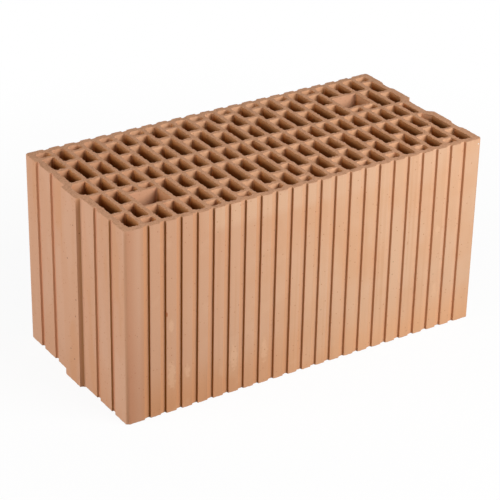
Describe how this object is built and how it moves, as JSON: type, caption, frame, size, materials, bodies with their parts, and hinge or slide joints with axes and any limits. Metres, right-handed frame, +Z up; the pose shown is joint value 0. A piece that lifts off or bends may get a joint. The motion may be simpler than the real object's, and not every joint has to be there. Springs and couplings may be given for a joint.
{
  "type": "hollow clay block",
  "caption": "Hollow fired clay block with rows of upright through holes, two grip holes, grooved long faces, a tongue on one end and a recess in the other.",
  "frame": {"origin": "on the lower bed face, under the middle of the overall length and width", "axes": "+X along the length towards the recess end, +Y towards the back long face, +Z up"},
  "size_m": [0.504, 0.24, 0.249],
  "materials": {
    "fired_clay": "matte"
  },
  "bodies": {
    "root": {"brick": "fired_clay"}
  },
  "joints": []
}
